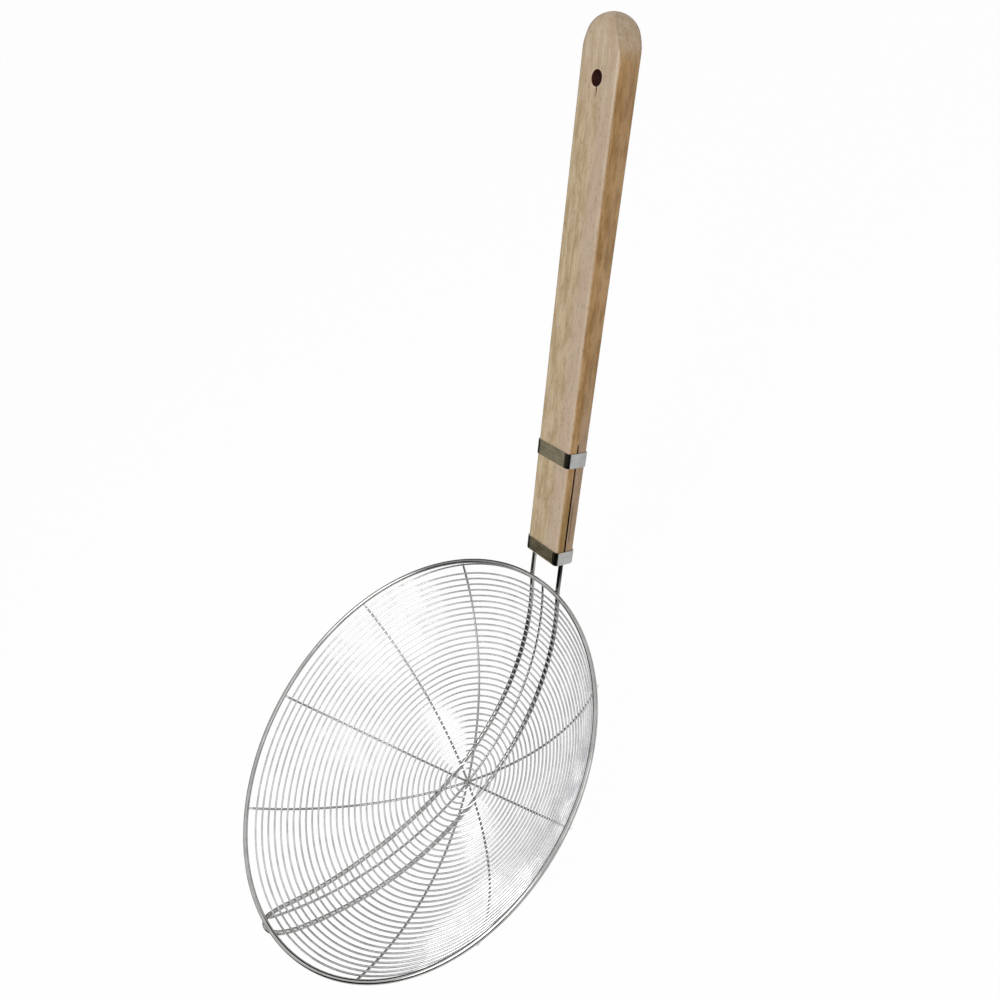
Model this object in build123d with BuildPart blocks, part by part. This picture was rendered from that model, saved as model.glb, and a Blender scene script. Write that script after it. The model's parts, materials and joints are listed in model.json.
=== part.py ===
from build123d import *
from itertools import pairwise
from math import acos, atan2, cos, hypot, pi, radians, sin, sqrt
import os

# A spider skimmer: a shallow wire bowl on a wooden handle.
# The rim lies level, the bowl opens towards +Z and the handle rises towards +Y.
# The origin is at the bottom centre of the whole skimmer, in millimetres.

# Bowl
rim_outer_d = 266.7  # 10-1/2 inches over the rim
bowl_depth = 62.8  # the rim wire's centre down to the dome that it lies on
rim_wire_d = 3.0
mesh_wire_d = 1.2
mesh_wire_sides = 12  # its section is a polygon, so that the long spiral keeps few faces
mesh_pitch = 4.05  # from one turn of the mesh to the next, along the dome
mesh_lead_in = 3.0  # how far the first turn runs away from the rim
mesh_eye_r = 5.5  # open middle of the mesh
mesh_start_angle = 90  # where the mesh wire leaves the rim, measured from +X
spoke_wire_d = 1.5
spoke_end_inset = 1.5  # the spokes stop this far inside the middle of the rim's wire
middle_spoke_ends = (90.8, 267.9)  # angles of its two ends round the rim, from +X
side_spoke_ends = ((15.4, 197.9), (51.1, 232.5), (123.4, 305.5), (161.0, 341.7))
hub_x = 1.0  # where the spokes cross, off the bowl's middle
hub_y = 0.8
weld_gap = 0.04  # left between wires that are welded where they cross
hub_flat_gap = 0.02  # left between the flats of the spokes at the hub

# Frame, one wire bent to a hairpin
frame_wire_d = 3.0
rail_spacing = 27.4  # between the rails, and between the tangs in the handle
rail_end_spacing = 21.0  # between the rails where the far bend starts
rail_narrow_share = 0.38  # of the rim's radius: the rails run parallel up to here
rail_bend_share = 0.925  # of the rim's radius: the far bend starts here
rail_close_in_angle = 4  # of the rails in plan, where the far bend starts
rim_bend_r = 14.0  # the rails straighten with this radius under the rim
tang_length = 77.0  # of frame wire inside the handle

# Handle
handle_reach = 336.55  # 13-1/4 inches from the rim's outside to the handle's end
handle_gap = 18.55  # from the rim's outside to the handle's lower end
handle_rise = 43.6  # degrees above the level rim
handle_low_width = 30.8
handle_end_width = 33.1
handle_low_depth = 13.3
handle_end_depth = 16.2
handle_arris_r = 2.4
wood_drop = 0.8  # the middle of the wood lies this far below the tangs
nose_plan_length = 30.0  # rounding of the handle's end, seen from above
nose_side_length = 9.5  # the same, seen from the side
kerf_width = 1.2  # saw cut that takes the tangs
kerf_length = 80.0
groove_clearance = 0.05  # around each tang
hang_hole_d = 8.5
hang_hole_from_end = 33.6

# Bands round the handle
band_height = 9.5
band_wall = 0.7
band_fit = 0.02  # clearance on the wood
band_edge_r = 0.2
cap_edge_r = 1.4  # rounding of the lower band's closed end
upper_band_start = 65.2  # from the handle's lower end
cap_hole_clearance = 0.1  # around each tang, in the lower band's end

overrun = 5.0  # how far the cuts run past what they cut


# Layers of the bowl, as spheres about one centre above it

rim_r = (rim_outer_d - rim_wire_d) / 2


def dome_radius(depth):
    return (rim_r**2 + depth**2) / (2 * depth)


rim_layer_r = dome_radius(bowl_depth)
seat_r = rim_layer_r + rim_wire_d / 2 + weld_gap
mesh_layer_r = seat_r - mesh_wire_d / 2 - weld_gap
spoke_layer_r = seat_r + spoke_wire_d / 2
dome_height = rim_layer_r - bowl_depth  # sphere centre above the rim
rim_polar = atan2(rim_r, dome_height)

# The rails lie on a sphere of their own: under the spokes at the hub, against the rim at both ends

rim_to_rail = (rim_wire_d + frame_wire_d) / 2 + weld_gap
rail_depth = seat_r + spoke_wire_d + frame_wire_d / 2 + 2 * weld_gap - dome_height
rail_layer_r = dome_radius(rail_depth - rim_to_rail) + rim_to_rail
rail_dome_height = rail_layer_r - rail_depth
rail_rim_polar = atan2(rim_r, rail_dome_height)
rail_x = rail_spacing / 2
rail_sag = rail_dome_height - sqrt(rail_layer_r**2 - rail_x**2)

# The rails leave the rim in line with the handle, seen from the side

rise = radians(handle_rise)
handle_length = handle_reach - handle_gap
rim_at_rail_y = sqrt(rim_r**2 - rail_x**2)
rail_arc_r = sqrt(rail_layer_r**2 - rail_x**2)
rim_off_arc = rim_at_rail_y * sin(rise) + rail_dome_height * cos(rise)
bend_start = rise + acos((rim_to_rail + rim_bend_r + rim_off_arc) / (rail_arc_r + rim_bend_r))
handle_start = cos(rise) * (rim_outer_d / 2 - rim_at_rail_y) + handle_gap
handle_low_y = rim_at_rail_y + rim_to_rail * sin(rise) + handle_start * cos(rise)
handle_low_z = handle_start * sin(rise) - rim_to_rail * cos(rise)

# The origin is halfway along the skimmer, level with the underside of the rails

nose_overhang = hypot(nose_side_length * cos(rise), handle_end_depth / 2 * sin(rise))
wood_low_y = handle_low_y + wood_drop * sin(rise)
front_y = wood_low_y + (handle_length - nose_side_length) * cos(rise) + nose_overhang
bend_y = -rail_layer_r * sin(rail_rim_polar)
back_y = bend_y - frame_wire_d / 2
bowl_y = -(front_y + back_y) / 2
rim_z = frame_wire_d / 2 - rail_sag

dome_centre = Vector(0, bowl_y, rim_z + dome_height)
rail_dome_centre = Vector(0, bowl_y, rim_z + rail_dome_height)
along = Vector(0, cos(rise), sin(rise))
tang_start = Vector(0, bowl_y + handle_low_y, rim_z + handle_low_z)
tang_plane = Plane(origin=tang_start, x_dir=(1, 0, 0), z_dir=along)
grip = Plane(origin=tang_start + tang_plane.y_dir * wood_drop, x_dir=(1, 0, 0), z_dir=along)


def on_dome(layer_r, polar, around):
    reach = layer_r * sin(polar)
    return dome_centre + Vector(reach * cos(around), reach * sin(around), -layer_r * cos(polar))


def bend_wire_through(stations):
    # Each station is a point and the wire's heading there; two tangent arcs join it to the next
    for (start, leaving), (end, arriving) in pairwise(stations):
        chord = end - start
        turning = 1 - leaving.dot(arriving)
        if turning < 1e-9:
            Line(start, end)
            continue
        ahead = chord.dot(leaving + arriving)
        run = (sqrt(ahead**2 + 2 * turning * chord.dot(chord)) - ahead) / (2 * turning)
        first_corner = start + leaving * run
        second_corner = end - arriving * run
        joint = (first_corner + second_corner) * 0.5
        TangentArc(start, joint, tangent=leaving)
        TangentArc(joint, end, tangent=second_corner - first_corner)


# Rim ring, a closed wire round the bowl's mouth

with BuildPart(Plane(origin=(0, bowl_y, rim_z))) as rim_ring:
    Torus(rim_r, rim_wire_d / 2)


# Mesh, one wire wound inwards on the dome in an unbroken spiral

rim_to_mesh = (rim_wire_d + mesh_wire_d) / 2 + weld_gap
touch_cosine = (rim_layer_r**2 + mesh_layer_r**2 - rim_to_mesh**2) / (2 * rim_layer_r * mesh_layer_r)
mesh_touch_polar = rim_polar - acos(touch_cosine)
mesh_first_polar = mesh_touch_polar - mesh_lead_in / mesh_layer_r
mesh_width = mesh_layer_r * mesh_first_polar - mesh_eye_r
mesh_quarters = int(4 * mesh_width / mesh_pitch)


def mesh_polar(turn):
    if turn == 0:
        return mesh_touch_polar
    return mesh_first_polar - turn * mesh_pitch / mesh_layer_r


def mesh_station(turn):
    polar = mesh_polar(turn)
    around = radians(mesh_start_angle) + 2 * pi * turn
    inwards = mesh_pitch / mesh_layer_r if turn else 0
    outward = Vector(cos(polar) * cos(around), cos(polar) * sin(around), sin(polar))
    sideways = Vector(-sin(around), cos(around), 0)
    heading = sideways * (2 * pi * sin(polar)) - outward * inwards
    return on_dome(mesh_layer_r, polar, around), heading.normalized()


mesh_stations = [mesh_station(quarter / 4) for quarter in range(mesh_quarters + 1)]

with BuildPart() as mesh_spiral:
    with BuildLine() as mesh_path:
        bend_wire_through(mesh_stations)
    with BuildSketch(Plane(origin=mesh_stations[0][0], z_dir=mesh_stations[0][1])):
        RegularPolygon(mesh_wire_d / 2, mesh_wire_sides)
    sweep()

turn_points = [point for point, heading in mesh_stations]
least_gap = min(
    (inner - outer).length - mesh_wire_d for outer, inner in zip(turn_points, turn_points[4:])
)
print(f"mesh: {mesh_quarters / 4} turns, least gap to itself {least_gap:.2f} mm")


# Spokes, five wires under the mesh that cross at the hub, pressed flat one on another there

spoke_end_polar = rim_polar - spoke_end_inset / spoke_layer_r
middle_spoke_side = rim_r * abs(cos(radians(middle_spoke_ends[1]))) + spoke_wire_d
bend_retreat = middle_spoke_side**2 / (rail_end_spacing - 2 * frame_wire_d)
rail_stop_polar = rim_polar - (frame_wire_d / 2 + bend_retreat + weld_gap) / spoke_layer_r
spoke_count = 1 + len(side_spoke_ends)
spoke_lap = spoke_wire_d / spoke_count
hub_reach = hypot(hub_x, hub_y)
hub_polar = hub_reach / spoke_layer_r
hub_around = atan2(hub_y, hub_x)
hub_point = on_dome(spoke_layer_r, hub_polar, hub_around)
hub_low_z = hub_point.Z - spoke_wire_d / 2


def heading_angle(ends):
    return (ends[0] + ends[1] - 180) / 2


near_angles = sorted(heading_angle(ends) for ends in (middle_spoke_ends, *side_spoke_ends))
next_angles = (*near_angles[1:], near_angles[0] + 180)
least_angle = min(after - angle for angle, after in zip(near_angles, next_angles))
hub_flat_length = 2 * (spoke_wire_d / 2 + weld_gap) / sin(radians(least_angle / 2))


def make_spoke(ends, far_polar, level):
    # One level arc over the hub from end to end; its flats let the other spokes pass
    near_end = on_dome(spoke_layer_r, spoke_end_polar, radians(ends[0]))
    far_end = on_dome(spoke_layer_r, far_polar, radians(ends[1]))
    heading = radians(heading_angle(ends))
    flat_low = Plane(
        origin=(hub_point.X, hub_point.Y, hub_low_z + level * spoke_lap),
        x_dir=(cos(heading), sin(heading), 0),
    )
    flat_high = flat_low.offset(spoke_lap - hub_flat_gap)
    with BuildPart() as spoke:
        with BuildLine():
            arc = ThreePointArc(near_end, hub_point, far_end)
        with BuildSketch(Plane(origin=arc @ 0, z_dir=arc % 0)):
            Circle(spoke_wire_d / 2)
        sweep()
        if level > 0:
            with BuildSketch(flat_low):
                Rectangle(hub_flat_length, 2 * spoke_wire_d)
            extrude(amount=-spoke_wire_d, mode=Mode.SUBTRACT)
        if level < spoke_count - 1:
            with BuildSketch(flat_high):
                Rectangle(hub_flat_length, 2 * spoke_wire_d)
            extrude(amount=spoke_wire_d, mode=Mode.SUBTRACT)
    return spoke


spokes = [make_spoke(middle_spoke_ends, rail_stop_polar, 0)]
for level, ends in enumerate(side_spoke_ends, start=1):
    spokes.append(make_spoke(ends, spoke_end_polar, level))


# Frame, a hairpin: a tang and a rail on each side, joined by a bend under the far rim


def rail_station(x, y, plan_angle):
    # A point on the rails' dome, headed away from the handle and turned inwards by plan_angle
    down = sqrt(rail_layer_r**2 - x**2 - y**2)
    across = -sin(radians(plan_angle))
    back = -cos(radians(plan_angle))
    heading = Vector(across, back, (across * x + back * y) / down)
    return rail_dome_centre + Vector(x, y, -down), heading.normalized()


tang_offset = Vector(rail_x, 0, 0)
line_end_y = rail_arc_r * sin(bend_start) + rim_bend_r * (sin(bend_start) - sin(rise))
line_end_z = rail_arc_r * cos(bend_start) + rim_bend_r * (cos(bend_start) - cos(rise))
right_leg = [
    (tang_start + along * tang_length + tang_offset, -along),
    (rail_dome_centre + Vector(rail_x, line_end_y, -line_end_z), -along),
    rail_station(rail_x, rail_arc_r * sin(bend_start), 0),
    rail_station(rail_x, 0, 0),
    rail_station(rail_x, -rail_narrow_share * rim_r, 0),
    rail_station(rail_end_spacing / 2, -rail_bend_share * rim_r, rail_close_in_angle),
]
bend_middle = rail_station(0, bend_y, 90)
left_leg = [
    (Vector(-point.X, point.Y, point.Z), Vector(heading.X, -heading.Y, -heading.Z))
    for point, heading in reversed(right_leg)
]

with BuildPart() as hairpin_frame:
    with BuildLine() as frame_path:
        bend_wire_through([*right_leg, bend_middle, *left_leg])
    with BuildSketch(Plane(origin=right_leg[0][0], z_dir=right_leg[0][1])):
        Circle(frame_wire_d / 2)
    sweep()


# Handle, tapered wood with soft arrises, a rounded nose, a hanging hole and a saw cut for the tangs


def grip_section(station, grow):
    # Section of the handle at a distance from its lower end, grown all round
    share = station / handle_length
    width = handle_low_width + (handle_end_width - handle_low_width) * share
    depth = handle_low_depth + (handle_end_depth - handle_low_depth) * share
    with BuildSketch(grip.offset(station)) as section:
        RectangleRounded(width + 2 * grow, depth + 2 * grow, handle_arris_r + grow)
    return section.sketch


def grip_block(low, high, grow=0, mode=Mode.ADD):
    loft([grip_section(low, grow), grip_section(high, grow)], ruled=True, mode=mode)


def nose_outline(plane, half_size, nose_length):
    # Straight sides in line with the wood's widest end, closed by half an ellipse
    nose_start = handle_length - nose_length
    with BuildSketch(plane) as outline:
        with Locations((0, nose_start)):
            Ellipse(half_size, nose_length)
            Rectangle(2 * half_size, nose_start + overrun, align=(Align.CENTER, Align.MAX))
    return outline.sketch


plan_plane = Plane(origin=grip.origin, x_dir=(1, 0, 0), z_dir=-grip.y_dir)
side_plane = Plane(origin=grip.origin, x_dir=grip.y_dir, z_dir=(1, 0, 0))
hang_hole_station = handle_length - hang_hole_from_end
hang_hole_plane = Plane(
    origin=grip.origin + along * hang_hole_station, x_dir=(1, 0, 0), z_dir=plan_plane.z_dir
)

with BuildPart() as handle:
    grip_block(0, handle_length)
    plan_outline = nose_outline(plan_plane, handle_end_width / 2, nose_plan_length)
    extrude(plan_outline, amount=handle_end_depth, both=True, mode=Mode.INTERSECT)
    side_outline = nose_outline(side_plane, handle_end_depth / 2, nose_side_length)
    extrude(side_outline, amount=handle_end_width, both=True, mode=Mode.INTERSECT)
    with BuildSketch(tang_plane):
        Rectangle(handle_end_width + 2 * overrun, kerf_width)
    extrude(amount=kerf_length, mode=Mode.SUBTRACT)
    with BuildSketch(tang_plane):
        with Locations((-rail_x, 0), (rail_x, 0)):
            Circle(frame_wire_d / 2 + groove_clearance)
    extrude(amount=tang_length + groove_clearance, mode=Mode.SUBTRACT)
    with BuildSketch(hang_hole_plane):
        Circle(hang_hole_d / 2)
    extrude(amount=handle_end_depth, both=True, mode=Mode.SUBTRACT)


# Upper band, an open steel sleeve

with BuildPart() as upper_band:
    upper_band_end = upper_band_start + band_height
    grip_block(upper_band_start, upper_band_end, band_fit + band_wall)
    fillet(upper_band.edges().filter_by(GeomType.LINE, reverse=True), band_edge_r)
    grip_block(upper_band_start, upper_band_end, band_fit, Mode.SUBTRACT)


# Lower band, a steel cap over the handle's end with a hole for each tang

with BuildPart() as lower_band:
    cap_end = band_height - band_wall - band_fit
    grip_block(-band_wall - band_fit, cap_end, band_fit + band_wall)
    cap_rim = lower_band.faces().sort_by(Axis(grip.origin, along)).first.edges()
    fillet(cap_rim, cap_edge_r)
    grip_block(-band_fit, cap_end, band_fit, Mode.SUBTRACT)
    with BuildSketch(tang_plane):
        with Locations((-rail_x, 0), (rail_x, 0)):
            Circle(frame_wire_d / 2 + cap_hole_clearance)
    extrude(amount=-overrun, mode=Mode.SUBTRACT)


# Each piece in its own file

pieces = {
    "handle": handle,
    "upper_band": upper_band,
    "lower_band": lower_band,
    "hairpin_frame": hairpin_frame,
    "rim_ring": rim_ring,
    "mesh_spiral": mesh_spiral,
}
for number, spoke in enumerate(spokes, start=1):
    pieces[f"spoke_{number}"] = spoke

os.makedirs("parts", exist_ok=True)
for name, piece in pieces.items():
    piece.part.label = name
    export_step(piece.part, f"parts/{name}.step")
    print(name, len(piece.part.solids()), round(piece.part.volume, 1))
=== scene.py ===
import json
import math

import bpy
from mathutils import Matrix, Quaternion, Vector


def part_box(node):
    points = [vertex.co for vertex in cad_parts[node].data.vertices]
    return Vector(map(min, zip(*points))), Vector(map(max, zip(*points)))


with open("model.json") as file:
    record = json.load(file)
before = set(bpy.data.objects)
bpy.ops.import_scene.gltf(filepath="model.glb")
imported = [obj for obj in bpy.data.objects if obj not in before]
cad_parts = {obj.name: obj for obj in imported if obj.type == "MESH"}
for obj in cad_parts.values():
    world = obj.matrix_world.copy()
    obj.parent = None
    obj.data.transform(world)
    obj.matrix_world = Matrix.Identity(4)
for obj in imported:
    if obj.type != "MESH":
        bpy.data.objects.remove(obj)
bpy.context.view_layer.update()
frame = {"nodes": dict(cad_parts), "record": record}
nodes = frame["nodes"]
print("frame:", len(nodes), "nodes")

mm = 0.001


# Small helpers

smooth = {"interpolation_type": "SMOOTHSTEP"}
rgba = {"data_type": "RGBA"}


def hexColor(text, level=1.0):
    # An sRGB colour as linear light, dimmed or raised by the level
    channels = [int(text[i:i + 2], 16) / 255 for i in (0, 2, 4)]
    linear = [c / 12.92 if c <= 0.04045 else ((c + 0.055) / 1.055) ** 2.4 for c in channels]
    return (*(level * c for c in linear), 1)


def addNode(tree, kind, inputs, **settings):
    # Makes one node; an input is a value, or the node or socket that it is linked from
    node = tree.nodes.new("ShaderNode" + kind)
    for name, value in settings.items():
        setattr(node, name, value)
    for name, value in inputs.items() if isinstance(inputs, dict) else enumerate(inputs):
        if isinstance(value, bpy.types.Node):
            value = next(socket for socket in value.outputs if socket.enabled)
        if isinstance(value, bpy.types.NodeSocket):
            tree.links.new(value, node.inputs[name])
        else:
            node.inputs[name].default_value = value
    return node


def newMaterial(name):
    material = bpy.data.materials.new(name)
    material.use_nodes = True
    material.node_tree.nodes.clear()
    return material


fineness = 0.6   # how strong each finer layer of a random pattern is


def blotches(tree, coords, sizes, detail):
    # A soft random pattern whose blotches have these three sizes in millimetres
    perMetre = [1 / (size * mm) for size in sizes]
    scaled = addNode(tree, "VectorMath", (coords, perMetre), operation="MULTIPLY")
    return addNode(tree, "TexNoise", {"Vector": scaled, "Scale": 1.0, "Detail": detail,
                                      "Roughness": fineness})


def dress(nodeName, material):
    holder = nodes[nodeName]
    if not holder.material_slots:
        holder.data.materials.append(material)
    for slot in holder.material_slots:
        slot.material = material


# The grip's own directions, read from the frame's hanging hole

hole = next(m for m in frame["record"]["mounts"] if m["name"] == "hanging_hole")
holePlace = Vector(hole["pos_m"])
holeRadius = hole["dims"]["r_mm"]
gripUp = Vector(hole["axis"]).normalized()   # out of the broad face that shows
gripAlong = gripUp.cross(Vector((1, 0, 0)))  # towards the handle's end
gripTilt = math.atan2(gripAlong.z, gripAlong.y)


def gripCoords(tree):
    # Metres from the hanging hole: across, along towards the handle's end, and up
    place = addNode(tree, "TexCoord", ())
    return addNode(tree, "Mapping", {"Vector": place.outputs["Object"], "Location": holePlace,
                                     "Rotation": (gripTilt, 0, 0)}, vector_type="TEXTURE")


def gripFacing(tree):
    # 1 on the broad face that shows, 0 on the edges and -1 on the underside
    normal = addNode(tree, "TexCoord", ()).outputs["Normal"]
    return addNode(tree, "VectorMath", (normal, gripUp), operation="DOT_PRODUCT")


# Handle: sanded beech, dry from washing. The broad face is pale with a pink-grey worn side,
# the edges are a deeper golden brown, and both are mottled more than they are striped

wood = {
    "paleFace": "c8b393", "darkFace": "ab936f", "wornFace": "bfa995",
    "paleEdge": "b38d5b", "darkEdge": "8f6a36", "noseFace": "cdb9a3", "noseDark": "bba485",
    "broadFrom": 0.3, "broadTo": 0.9,        # how squarely a spot faces out of the broad faces
    "mottleWide": 4.5, "mottleLong": 16.0, "mottleDetail": 4.0, "mottleShare": 0.62,
    "grainWide": 0.9, "grainLong": 26.0, "grainDetail": 3.0,   # coarser than real beech, so that it shows
    "toneLow": 0.38, "toneHigh": 0.62,       # of the patterns, where the wood is darkest and palest
    "fleck": "6f5230", "fleckWide": 0.5, "fleckLong": 3.5, "fleckDetail": 1.0,
    "fleckLow": 0.62, "fleckHigh": 0.72, "fleckShare": 0.6,
    # across the broad face, where the pink-grey side starts, and how far its edge wanders
    "wornFrom": 0.0, "wornTo": 8.0, "wornWander": 7.0, "wornShare": 0.7,
    # along, where the arris fades and the end is plain, on the broad faces and on the edges
    "noseFrom": -30.0, "noseTo": 24.0, "noseEdgeFrom": 8.0, "noseEdgeTo": 22.0, "noseShare": 0.85,
    "noseSoft": 4.5, "softFrom": -4.0, "softTo": 16.0, "softSamples": 8,   # its creases are sanded round
    "bumpStrength": 0.3, "bumpHeight": 0.15, "roughness": 0.58, "roughSpread": 0.06,
    "ior": 1.5,
}

# The edges beside the saw cut: golden above it, bleached grey below it
sides = {
    "grey": "a38b75", "greyFrom": -150.0, "greyTo": -215.0, "greyLeast": 0.15, "greyMost": 0.7,
    "gold": "86682f", "goldFrom": -222.0, "goldTo": -255.0, "goldMost": 0.6,
    "blendHalf": 0.5,
}

bore = {
    "color": "4a2014", "soft": 0.4, "past": 0.05,                  # painted shade inside the hole
    "lipHighlight": "dccbb8", "lipFrom": 1.1, "lipTo": 0.5, "lipShare": 0.5,   # painted highlight round its mouth
}

# A short drying crack from the hole, in the broad face that shows
crack = {
    "start": -3.5, "startSoft": 1.0, "end": -11.5, "endSoft": 6.0,
    "across": 0.8, "half": 0.7, "core": 0.3, "faceFrom": 0.8, "faceTo": 0.95,
}

# The saw cut's walls in painted shade: nearly black low down, paler higher up
sawCut = {
    "color": "140d08", "upperShade": "8d7464", "up": 0.8, "half": 0.66, "soft": 0.05,
    "top": -203.0, "topSoft": 1.0,
}

# A thin check in the grain beside the saw cut
check = {
    "color": "59412f", "up": -1.3, "half": 0.8, "share": 0.9,
    "start": -240.0, "startSoft": 8.0, "end": -272.0, "endSoft": 6.0,
    "edgeFrom": 0.3, "edgeTo": 0.1,
}


def beechColor(tree, across, along, up, broad, mottle, tone):
    # The sound wood: broad faces, edges and the plain end
    face = addNode(tree, "Mix", {0: tone, 6: hexColor(wood["darkFace"]),
                                 7: hexColor(wood["paleFace"])}, **rgba)
    wander = addNode(tree, "Math", (mottle, wood["wornWander"] * mm), operation="MULTIPLY")
    uneven = addNode(tree, "Math", (across, wander), operation="ADD")
    middle = wood["wornWander"] / 2
    worn = addNode(tree, "MapRange", (uneven, (wood["wornFrom"] + middle) * mm,
                                      (wood["wornTo"] + middle) * mm, 0.0, wood["wornShare"]),
                   **smooth)
    face = addNode(tree, "Mix", {0: worn, 6: face, 7: hexColor(wood["wornFace"])}, **rgba)

    edge = addNode(tree, "Mix", {0: tone, 6: hexColor(wood["darkEdge"]),
                                 7: hexColor(wood["paleEdge"])}, **rgba)
    below = addNode(tree, "MapRange", (up, (sawCut["up"] + sides["blendHalf"]) * mm,
                                       (sawCut["up"] - sides["blendHalf"]) * mm), **smooth)
    above = addNode(tree, "Math", (1.0, below), operation="SUBTRACT")
    greyAlong = addNode(tree, "MapRange", (along, sides["greyFrom"] * mm, sides["greyTo"] * mm,
                                           sides["greyLeast"], sides["greyMost"]), **smooth)
    goldAlong = addNode(tree, "MapRange", (along, sides["goldFrom"] * mm, sides["goldTo"] * mm,
                                           0.0, sides["goldMost"]), **smooth)
    for half, share, name in ((below, greyAlong, "grey"), (above, goldAlong, "gold")):
        tinted = addNode(tree, "Math", (half, share), operation="MULTIPLY")
        edge = addNode(tree, "Mix", {0: tinted, 6: edge, 7: hexColor(sides[name])}, **rgba)
    color = addNode(tree, "Mix", {0: broad, 6: edge, 7: face}, **rgba)

    onFace, onEdge = (
        addNode(tree, "MapRange", (along, wood[start] * mm, wood[end] * mm, 0.0,
                                   wood["noseShare"]), **smooth)
        for start, end in (("noseFrom", "noseTo"), ("noseEdgeFrom", "noseEdgeTo")))
    nose = addNode(tree, "Mix", {0: broad, 2: onEdge, 3: onFace})
    plain = addNode(tree, "Mix", {0: tone, 6: hexColor(wood["noseDark"]),
                                  7: hexColor(wood["noseFace"])}, **rgba)
    return addNode(tree, "Mix", {0: nose, 6: color, 7: plain}, **rgba)


def crackMask(tree, across, along, facing):
    offset = addNode(tree, "Math", (across, crack["across"] * mm), operation="SUBTRACT")
    offset = addNode(tree, "Math", (offset,), operation="ABSOLUTE")
    limits = (
        (offset, crack["half"] * mm, crack["half"] * crack["core"] * mm),
        (along, crack["end"] * mm, (crack["end"] + crack["endSoft"]) * mm),
        (along, crack["start"] * mm, (crack["start"] - crack["startSoft"]) * mm),
        (facing, crack["faceFrom"], crack["faceTo"]))
    mask = 1.0
    for limit in limits:
        within = addNode(tree, "MapRange", limit, **smooth)
        mask = addNode(tree, "Math", (mask, within), operation="MULTIPLY")
    return mask


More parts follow.
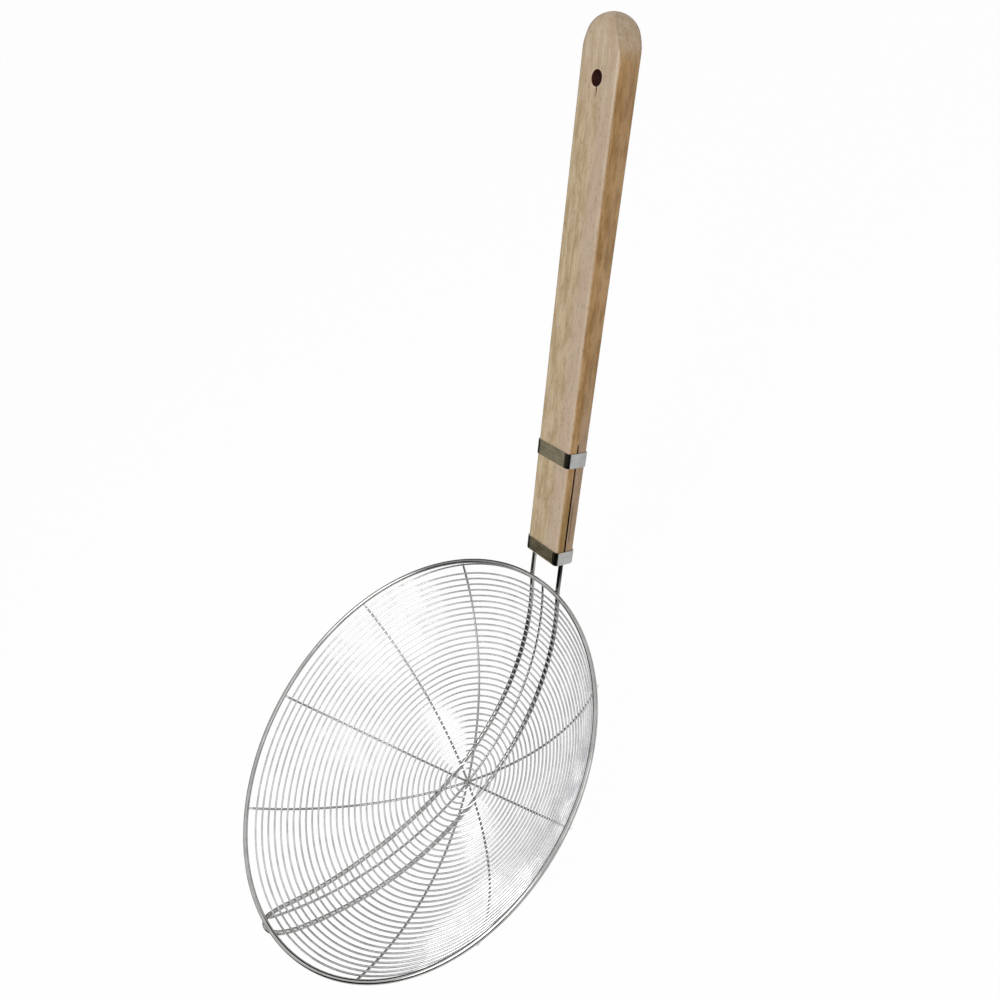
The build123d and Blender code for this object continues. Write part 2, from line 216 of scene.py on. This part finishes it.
def sandedBeech():
    material = newMaterial("sandedBeech")
    tree = material.node_tree
    coords = gripCoords(tree)
    across, along, up = addNode(tree, "SeparateXYZ", (coords,)).outputs
    facing = gripFacing(tree)
    flatness = addNode(tree, "Math", (facing,), operation="ABSOLUTE")
    broad = addNode(tree, "MapRange", (flatness, wood["broadFrom"], wood["broadTo"]), **smooth)

    mottle, grain, fleck = (
        blotches(tree, coords, (wood[name + "Wide"], wood[name + "Long"], wood[name + "Wide"]),
                 wood[name + "Detail"])
        for name in ("mottle", "grain", "fleck"))
    mostly = addNode(tree, "Math", (mottle, wood["mottleShare"]), operation="MULTIPLY")
    partly = addNode(tree, "Math", (grain, 1 - wood["mottleShare"]), operation="MULTIPLY")
    tone = addNode(tree, "Math", (mostly, partly), operation="ADD")
    tone = addNode(tree, "MapRange", (tone, wood["toneLow"], wood["toneHigh"]), **smooth)
    color = beechColor(tree, across, along, up, broad, mottle, tone)

    flecks = addNode(tree, "MapRange", (fleck, wood["fleckLow"], wood["fleckHigh"], 0.0,
                                        wood["fleckShare"]), **smooth)

    # The hanging hole's bore in painted shade and its lip in painted highlight, and the crack that runs
    # from it
    squares = [addNode(tree, "Math", (side, 2.0), operation="POWER") for side in (across, along)]
    fromHole = addNode(tree, "Math", squares, operation="ADD")
    fromHole = addNode(tree, "Math", (fromHole,), operation="SQRT")
    # Painted highlight on the lip round the hole's mouth
    lipHighlight = addNode(tree, "MapRange", (fromHole, (holeRadius + bore["lipFrom"]) * mm,
                                     (holeRadius + bore["lipTo"]) * mm, 0.0, bore["lipShare"]),
                  **smooth)
    # Painted shade inside the bore, where its wall lies in shadow
    boreRadius = holeRadius + bore["past"]
    holeShade = addNode(tree, "MapRange", (fromHole, (boreRadius + bore["soft"]) * mm,
                                        boreRadius * mm), **smooth)
    cracked = crackMask(tree, across, along, facing)

    # The saw cut's walls in painted shade, and the check beside it on the edges
    # Painted shade on the saw cut's walls, darkest low down
    offCut = addNode(tree, "Math", (up, sawCut["up"] * mm), operation="SUBTRACT")
    offCut = addNode(tree, "Math", (offCut,), operation="ABSOLUTE")
    inCut = addNode(tree, "MapRange", (offCut, sawCut["half"] * mm,
                                       (sawCut["half"] - sawCut["soft"]) * mm), **smooth)
    belowTop = addNode(tree, "MapRange", (along, sawCut["top"] * mm,
                                          (sawCut["top"] - sawCut["topSoft"]) * mm), **smooth)
    cutShade = addNode(tree, "Math", (inCut, belowTop), operation="MULTIPLY")
    towardsTop = addNode(tree, "MapRange", (along, check["end"] * mm, sawCut["top"] * mm), **smooth)
    walls = addNode(tree, "Mix", {0: towardsTop, 6: hexColor(sawCut["color"]),
                                  7: hexColor(sawCut["upperShade"])}, **rgba)
    offCheck = addNode(tree, "Math", (up, check["up"] * mm), operation="SUBTRACT")
    offCheck = addNode(tree, "Math", (offCheck,), operation="ABSOLUTE")
    checked = 1.0
    for limit in (
            (offCheck, check["half"] * mm, 0.0, 0.0, check["share"]),
            (along, check["start"] * mm, (check["start"] - check["startSoft"]) * mm),
            (along, check["end"] * mm, (check["end"] + check["endSoft"]) * mm),
            (flatness, check["edgeFrom"], check["edgeTo"])):
        within = addNode(tree, "MapRange", limit, **smooth)
        checked = addNode(tree, "Math", (checked, within), operation="MULTIPLY")

    for mask, mark in (
            (flecks, hexColor(wood["fleck"])), (lipHighlight, hexColor(bore["lipHighlight"])),
            (holeShade, hexColor(bore["color"])), (cracked, hexColor(bore["color"])),
            (cutShade, walls), (checked, hexColor(check["color"]))):
        color = addNode(tree, "Mix", {0: mask, 6: color, 7: mark}, **rgba)

    sunk = addNode(tree, "Math", (flecks, cracked), operation="ADD")
    height = addNode(tree, "Math", (tone, sunk), operation="SUBTRACT")
    sanded = addNode(tree, "Bevel", {"Radius": wood["noseSoft"] * mm}, samples=wood["softSamples"])
    plainNormal = addNode(tree, "NewGeometry", ()).outputs["Normal"]
    onNose = addNode(tree, "MapRange", (along, wood["softFrom"] * mm, wood["softTo"] * mm), **smooth)
    soft = addNode(tree, "Mix", {0: onNose, 4: plainNormal, 5: sanded}, data_type="VECTOR")
    bump = addNode(tree, "Bump", {"Height": height, "Strength": wood["bumpStrength"],
                                  "Distance": wood["bumpHeight"] * mm, "Normal": soft})
    rough = addNode(tree, "MapRange", (tone, 0.0, 1.0, wood["roughness"] + wood["roughSpread"],
                                       wood["roughness"] - wood["roughSpread"]), **smooth)
    shader = addNode(tree, "BsdfPrincipled", {"Base Color": color, "Roughness": rough,
                                              "Normal": bump, "IOR": wood["ior"]})
    addNode(tree, "OutputMaterial", {"Surface": shader})
    return material


dress("handle", sandedBeech())
print("handle dressed")


# Bands: rolled stainless strip, satin, with fine lines round the handle and duller low spots.
# An old film of frying oil turns the broad faces olive, and a painted dark reflection runs along each bend

band = {
    "pale": "b6b7b5", "dull": "a0a19f",
    "paleFilm": "a39a80", "dullFilm": "8b8168",
    "filmLevel": {"upper_band": 0.86, "lower_band": 1.45},   # the film is thinner on the lower one
    "filmFrom": 0.2, "filmTo": 0.7,
    # painted dark reflection along each bend
    "bendReflection": "2b2823", "reflectionWide": 4.6, "reflectionSoft": 1.0, "reflectionShare": 0.95,
    "reflectionFrom": 0.3, "reflectionTo": 0.5,
    "lineLong": 25.0, "lineWide": 0.22,      # rolling lines, coarser than real ones so that they show
    "lineDetail": 3.0, "lineShare": 0.6,
    "cloudLong": 9.0, "cloudWide": 5.0, "cloudDetail": 2.0, "toneLow": 0.35, "toneHigh": 0.65,
    "bumpStrength": 0.12, "bumpHeight": 0.05, "roughness": 0.2, "roughSpread": 0.08,
}


def rolledStainless(nodeName):
    material = newMaterial("rolledStainless_" + nodeName)
    tree = material.node_tree
    coords = gripCoords(tree)
    lines, cloud = (
        blotches(tree, coords, (band[name + "Long"], band[name + "Wide"], band[name + "Long"]),
                 band[name + "Detail"])
        for name in ("line", "cloud"))
    mostly = addNode(tree, "Math", (lines, band["lineShare"]), operation="MULTIPLY")
    partly = addNode(tree, "Math", (cloud, 1 - band["lineShare"]), operation="MULTIPLY")
    tone = addNode(tree, "Math", (mostly, partly), operation="ADD")
    tone = addNode(tree, "MapRange", (tone, band["toneLow"], band["toneHigh"]), **smooth)
    color = addNode(tree, "Mix", {0: tone, 6: hexColor(band["dull"]), 7: hexColor(band["pale"])},
                    **rgba)

    flatness = addNode(tree, "Math", (gripFacing(tree),), operation="ABSOLUTE")
    broad = addNode(tree, "MapRange", (flatness, band["filmFrom"], band["filmTo"]), **smooth)
    level = band["filmLevel"][nodeName]
    film = addNode(tree, "Mix", {0: tone, 6: hexColor(band["dullFilm"], level),
                                 7: hexColor(band["paleFilm"], level)}, **rgba)
    color = addNode(tree, "Mix", {0: broad, 6: color, 7: film}, **rgba)

    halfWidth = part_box(nodeName)[1][0]
    across = addNode(tree, "SeparateXYZ", (coords,)).outputs[0]
    across = addNode(tree, "Math", (across,), operation="ABSOLUTE")
    # Painted dark reflection along each bend, off the broad faces
    reflectionStart = halfWidth - band["reflectionWide"] * mm
    nearBend = addNode(tree, "MapRange", (across, reflectionStart, reflectionStart + band["reflectionSoft"] * mm),
                       **smooth)
    offSide = addNode(tree, "MapRange", (flatness, band["reflectionFrom"], band["reflectionTo"], 0.0,
                                         band["reflectionShare"]), **smooth)
    bendReflection = addNode(tree, "Math", (nearBend, offSide), operation="MULTIPLY")
    color = addNode(tree, "Mix", {0: bendReflection, 6: color, 7: hexColor(band["bendReflection"])}, **rgba)

    rough = addNode(tree, "MapRange", (tone, 0.0, 1.0, band["roughness"] + band["roughSpread"],
                                       band["roughness"]), **smooth)
    bump = addNode(tree, "Bump", {"Height": lines, "Strength": band["bumpStrength"],
                                  "Distance": band["bumpHeight"] * mm})
    shader = addNode(tree, "BsdfPrincipled", {"Base Color": color, "Metallic": 1.0,
                                              "Roughness": rough, "Normal": bump})
    addNode(tree, "OutputMaterial", {"Surface": shader})
    return material


for name in ("upper_band", "lower_band"):
    dress(name, rolledStainless(name))
print("bands dressed")


# Wires: stainless drawn through a die, bright, with faint dull patches from handling

wire = {
    "bright": "b6b5b4", "dull": "a6a4a2",
    "cloudSize": 9.0, "cloudDetail": 3.0, "cloudShare": 0.75,
    "lineSize": 0.35, "lineDetail": 2.0,     # die marks, coarser than real ones so that they show
    "toneLow": 0.36, "toneHigh": 0.62,
    "bumpStrength": 0.06, "bumpHeight": 0.03, "roughness": 0.1, "roughSpread": 0.05,
}

# Spokes: a little duller, with ends under the rim that were ground bright
spokeWire = {
    **wire, "bright": "a09f9e", "dull": "8f8d8b",
    "ground": "f0f0ef", "groundFrom": 130.5, "groundTo": 131.3, "groundRoughness": 0.6,
}

# Rim: darker over an arc round this bearing, where the ring's ends are welded together
rimWire = {
    **wire, "wireRadius": 1.5,
    "arcDark": "45423f", "weldBearing": 121.0, "weldNear": 12.0, "weldFar": 25.0, "arcShare": 0.55,
}

# Frame: the rails are darker over a stretch along Y from the bowl's middle
frameWire = {
    **wire, "bright": "b0afad", "dull": "9b9996", "roughSpread": 0.06,
    "darker": "434240", "darkerFrom": 17.0, "darkerTo": 77.0, "darkerUntil": 104.0,
    "darkerGone": 122.0, "darkerShare": 0.85,
    "leftKeep": 0.05, "rightKeep": 0.5, "sideHalf": 5.0,   # of that darkening beyond the stretch
    # nearly black on the right rail close to the band
    "nearlyBlack": "191817", "nearlyBlackFrom": 132.0, "nearlyBlackTo": 144.0, "nearlyBlackShare": 0.9,
    # the tangs in the wood are dark and dull with oxide
    "tang": "0c0a08", "tangStart": -283.5, "tangSoft": 1.0, "tangRoughness": 0.7,
}

# Mesh: finer drawn wire, paler, and scoured more satin
meshWire = {
    **wire, "bright": "dcdcdd", "dull": "c0c0c2",
    "cloudSize": 12.0, "lineSize": 0.3, "roughness": 0.2, "roughSpread": 0.1,
}

ringLow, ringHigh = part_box("rim_ring")
bowlY = (ringLow[1] + ringHigh[1]) / 2


def groundEnds(tree, sideways, backwards, color, rough):
    values = spokeWire
    squares = [addNode(tree, "Math", (side, 2.0), operation="POWER")
               for side in (sideways, backwards)]
    outwards = addNode(tree, "Math", squares, operation="ADD")
    outwards = addNode(tree, "Math", (outwards,), operation="SQRT")
    ground = addNode(tree, "MapRange", (outwards, values["groundFrom"] * mm,
                                        values["groundTo"] * mm), **smooth)
    color = addNode(tree, "Mix", {0: ground, 6: color, 7: hexColor(values["ground"])}, **rgba)
    satin = addNode(tree, "Math", (ground, values["groundRoughness"]), operation="MULTIPLY")
    return color, addNode(tree, "Math", (rough, satin), operation="MAXIMUM")


# Darkens the rim over an arc round the weld's bearing
def darkerArc(tree, sideways, backwards, color, rough):
    values = rimWire
    bearing = math.radians(values["weldBearing"])
    right = addNode(tree, "Math", (sideways, math.cos(bearing)), operation="MULTIPLY")
    back = addNode(tree, "Math", (backwards, math.sin(bearing)), operation="MULTIPLY")
    towards = addNode(tree, "Math", (right, back), operation="ADD")
    ringRadius = ringHigh[0] - values["wireRadius"] * mm
    tint = addNode(tree, "MapRange",
                   (towards, ringRadius * math.cos(math.radians(values["weldFar"])),
                    ringRadius * math.cos(math.radians(values["weldNear"])), 0.0,
                    values["arcShare"]), **smooth)
    return addNode(tree, "Mix", {0: tint, 6: color, 7: hexColor(values["arcDark"])}, **rgba), rough


# Darkens a stretch of the rails, makes the right rail nearly black near the band, and darkens the tangs
def railDarkening(tree, sideways, backwards, color, rough):
    values = frameWire
    half = values["sideHalf"] * mm
    keep = addNode(tree, "MapRange", (sideways, -half, half, values["leftKeep"],
                                      values["rightKeep"]), **smooth)
    inDarkStretch = addNode(tree, "MapRange", (backwards, values["darkerFrom"] * mm,
                                         values["darkerTo"] * mm, 0.0, values["darkerShare"]),
                      **smooth)
    beyond = addNode(tree, "MapRange", (backwards, values["darkerUntil"] * mm,
                                        values["darkerGone"] * mm, 1.0, keep), **smooth)
    darker = addNode(tree, "Math", (inDarkStretch, beyond), operation="MULTIPLY")
    nearBand = addNode(tree, "MapRange", (backwards, values["nearlyBlackFrom"] * mm,
                                          values["nearlyBlackTo"] * mm), **smooth)
    onRight = addNode(tree, "MapRange", (sideways, -half, half, 0.0, values["nearlyBlackShare"]), **smooth)
    nearlyBlack = addNode(tree, "Math", (nearBand, onRight), operation="MULTIPLY")
    along = addNode(tree, "SeparateXYZ", (gripCoords(tree),)).outputs[1]
    tangEnd = values["tangStart"] + values["tangSoft"]
    inWood = addNode(tree, "MapRange", (along, values["tangStart"] * mm, tangEnd * mm), **smooth)
    for mask, name in ((darker, "darker"), (nearlyBlack, "nearlyBlack"), (inWood, "tang")):
        color = addNode(tree, "Mix", {0: mask, 6: color, 7: hexColor(values[name])}, **rgba)
    oxide = addNode(tree, "Math", (inWood, values["tangRoughness"]), operation="MULTIPLY")
    return color, addNode(tree, "Math", (rough, oxide), operation="MAXIMUM")


def drawnStainless(name, values, marks=None):
    material = newMaterial(name)
    tree = material.node_tree
    coords = addNode(tree, "TexCoord", ()).outputs["Object"]
    cloud = blotches(tree, coords, (values["cloudSize"],) * 3, values["cloudDetail"])
    lines = blotches(tree, coords, (values["lineSize"],) * 3, values["lineDetail"])
    mostly = addNode(tree, "Math", (cloud, values["cloudShare"]), operation="MULTIPLY")
    partly = addNode(tree, "Math", (lines, 1 - values["cloudShare"]), operation="MULTIPLY")
    tone = addNode(tree, "Math", (mostly, partly), operation="ADD")
    tone = addNode(tree, "MapRange", (tone, values["toneLow"], values["toneHigh"]), **smooth)
    color = addNode(tree, "Mix", {0: tone, 6: hexColor(values["dull"]),
                                  7: hexColor(values["bright"])}, **rgba)
    rough = addNode(tree, "MapRange", (tone, 0.0, 1.0, values["roughness"] + values["roughSpread"],
                                       values["roughness"]), **smooth)
    if marks:
        place = addNode(tree, "SeparateXYZ", (coords,)).outputs
        backwards = addNode(tree, "Math", (place[1], bowlY), operation="SUBTRACT")
        color, rough = marks(tree, place[0], backwards, color, rough)
    bump = addNode(tree, "Bump", {"Height": lines, "Strength": values["bumpStrength"],
                                  "Distance": values["bumpHeight"] * mm})
    shader = addNode(tree, "BsdfPrincipled", {"Base Color": color, "Metallic": 1.0,
                                              "Roughness": rough, "Normal": bump})
    addNode(tree, "OutputMaterial", {"Surface": shader})
    return material


spokeSteel = drawnStainless("drawnStainless", spokeWire, groundEnds)
for name in nodes:
    if name.startswith("spoke_"):
        dress(name, spokeSteel)
dress("rim_ring", drawnStainless("arcDarkenedStainless", rimWire, darkerArc))
dress("hairpin_frame", drawnStainless("darkenedDrawnStainless", frameWire, railDarkening))
dress("mesh_spiral", drawnStainless("fineDrawnStainless", meshWire))
print("wires dressed")


# Floor and background: white paper that keeps a faint shadow

paper = {"color": "f8f8f8", "size": 60.0, "drop": 0.2, "ownLight": 0.965}


def seenRays(tree):
    # 1 for rays that show the background: to the camera, in metal and through glass
    rays = addNode(tree, "LightPath", ()).outputs
    both = addNode(tree, "Math", (rays["Is Camera Ray"], rays["Is Glossy Ray"]), operation="ADD")
    seen = addNode(tree, "Math", (both, rays["Is Transmission Ray"]), operation="ADD")
    return addNode(tree, "Math", (seen, 1.0), operation="MINIMUM")


def paperFloor():
    material = newMaterial("paperFloor")
    tree = material.node_tree
    diffuse = addNode(tree, "BsdfDiffuse", {"Color": hexColor(paper["color"])})
    glow = addNode(tree, "Emission", {"Color": (1, 1, 1, 1), "Strength": 1.0})
    share = addNode(tree, "Math", (seenRays(tree), paper["ownLight"]), operation="MULTIPLY")
    mixed = addNode(tree, "MixShader", (share, diffuse, glow))
    addNode(tree, "OutputMaterial", {"Surface": mixed})
    return material


def stageSheet(name, points, faces, material):
    mesh = bpy.data.meshes.new(name)
    mesh.from_pydata(points, [], faces)
    mesh.materials.append(material)
    sheet = bpy.data.objects.new(name, mesh)
    bpy.context.scene.collection.objects.link(sheet)
    return sheet


reach = paper["size"] / 2
floorZ = -paper["drop"] * mm
corners = [(x, y, floorZ) for x, y in ((-reach, -reach), (reach, -reach), (reach, reach), (-reach, reach))]
stageSheet("floor", corners, [(0, 1, 2, 3)], paperFloor())


# Dark cloth hung round the skimmer and seen by the steel alone, which gives wires dark edges.
# It is tall on the left and in front, lower between them and lowest elsewhere

cloth = {
    "color": "161513", "distance": 1.2, "step": 6,
    # bearings from +X between which each length hangs, and its height
    "tall": (138, 214, 1.0), "low": (214, 246, 0.34), "middle": (246, 330, 1.0),
    "rest": (330, 498, 0.2),
}


def blackCloth():
    material = newMaterial("blackCloth")
    tree = material.node_tree
    shader = addNode(tree, "Emission", {"Color": hexColor(cloth["color"]), "Strength": 1.0})
    addNode(tree, "OutputMaterial", {"Surface": shader})
    return material


def hangCloth(name, material):
    start, end, height = cloth[name]
    count = round((end - start) / cloth["step"])
    points = []
    for number in range(count + 1):
        bearing = math.radians(start + (end - start) * number / count)
        x, y = cloth["distance"] * math.cos(bearing), cloth["distance"] * math.sin(bearing)
        points += [(x, y, 0.0), (x, y, height)]
    faces = [(2 * n, 2 * n + 2, 2 * n + 3, 2 * n + 1) for n in range(count)]
    hung = stageSheet(name + "_cloth", points, faces, material)
    hung.visible_camera = hung.visible_diffuse = hung.visible_shadow = False
    hung.visible_transmission = False


darkCloth = blackCloth()
for name in ("tall", "low", "middle", "rest"):
    hangCloth(name, darkCloth)


# Light: a white room, a large soft key above and a weaker fill

light = {
    "roomLevel": 0.42,
    "key": {"level": 0.55, "place": (0.35, -0.75, 1.15), "size": 0.9},
    "fill": {"level": 0.14, "place": (1.0, 0.5, 0.55), "size": 0.8},
    "target": (0, 0, 0.1),
}


def softbox(name):
    values = light[name]
    place = Vector(values["place"])
    toTarget = Vector(light["target"]) - place
    lamp = bpy.data.lights.new(name, "AREA")
    lamp.shape = "SQUARE"
    lamp.size = values["size"]
    # Power at which a white sheet facing the lamp at the target renders at this level
    lamp.energy = values["level"] * math.pi ** 2 * toTarget.length_squared
    holder = bpy.data.objects.new(name, lamp)
    bpy.context.scene.collection.objects.link(holder)
    holder.location = place
    holder.rotation_mode = "QUATERNION"
    holder.rotation_quaternion = toTarget.to_track_quat("-Z", "Y")


softbox("key")
softbox("fill")

world = bpy.data.worlds.new("whiteRoom")
bpy.context.scene.world = world
world.use_nodes = True
room = world.node_tree
room.nodes.clear()
strength = addNode(room, "MapRange", {"Value": seenRays(room), "To Min": light["roomLevel"],
                                      "To Max": 1.0})
sky = addNode(room, "Background", {"Color": (1, 1, 1, 1), "Strength": strength})
addNode(room, "OutputWorld", {"Surface": sky})
print("floor, cloths, lamps and room set")


# Camera, fitted to the photograph; the picture is square

view = {
    "eye": (0.43887, -0.02615, 0.53711), "target": (-0.10325, 0.08417, 0.04),
    "roll": -42.66, "focalLength": 35.73, "sensor": 36.0,
    "shift": (-0.0423, -0.0377), "near": 0.02, "far": 20,
}

camera = bpy.data.cameras.new("camera")
camera.sensor_fit = "HORIZONTAL"
camera.sensor_width = view["sensor"]
camera.lens = view["focalLength"]
camera.shift_x, camera.shift_y = view["shift"]
camera.clip_start, camera.clip_end = view["near"], view["far"]
cameraHolder = bpy.data.objects.new("camera", camera)
bpy.context.scene.collection.objects.link(cameraHolder)
cameraHolder.location = view["eye"]
level = (Vector(view["target"]) - Vector(view["eye"])).to_track_quat("-Z", "Y")
cameraHolder.rotation_mode = "QUATERNION"
cameraHolder.rotation_quaternion = level @ Quaternion((0, 0, 1), math.radians(view["roll"]))
bpy.context.scene.camera = cameraHolder
bpy.context.scene.view_settings.view_transform = "Standard"
print("camera set")
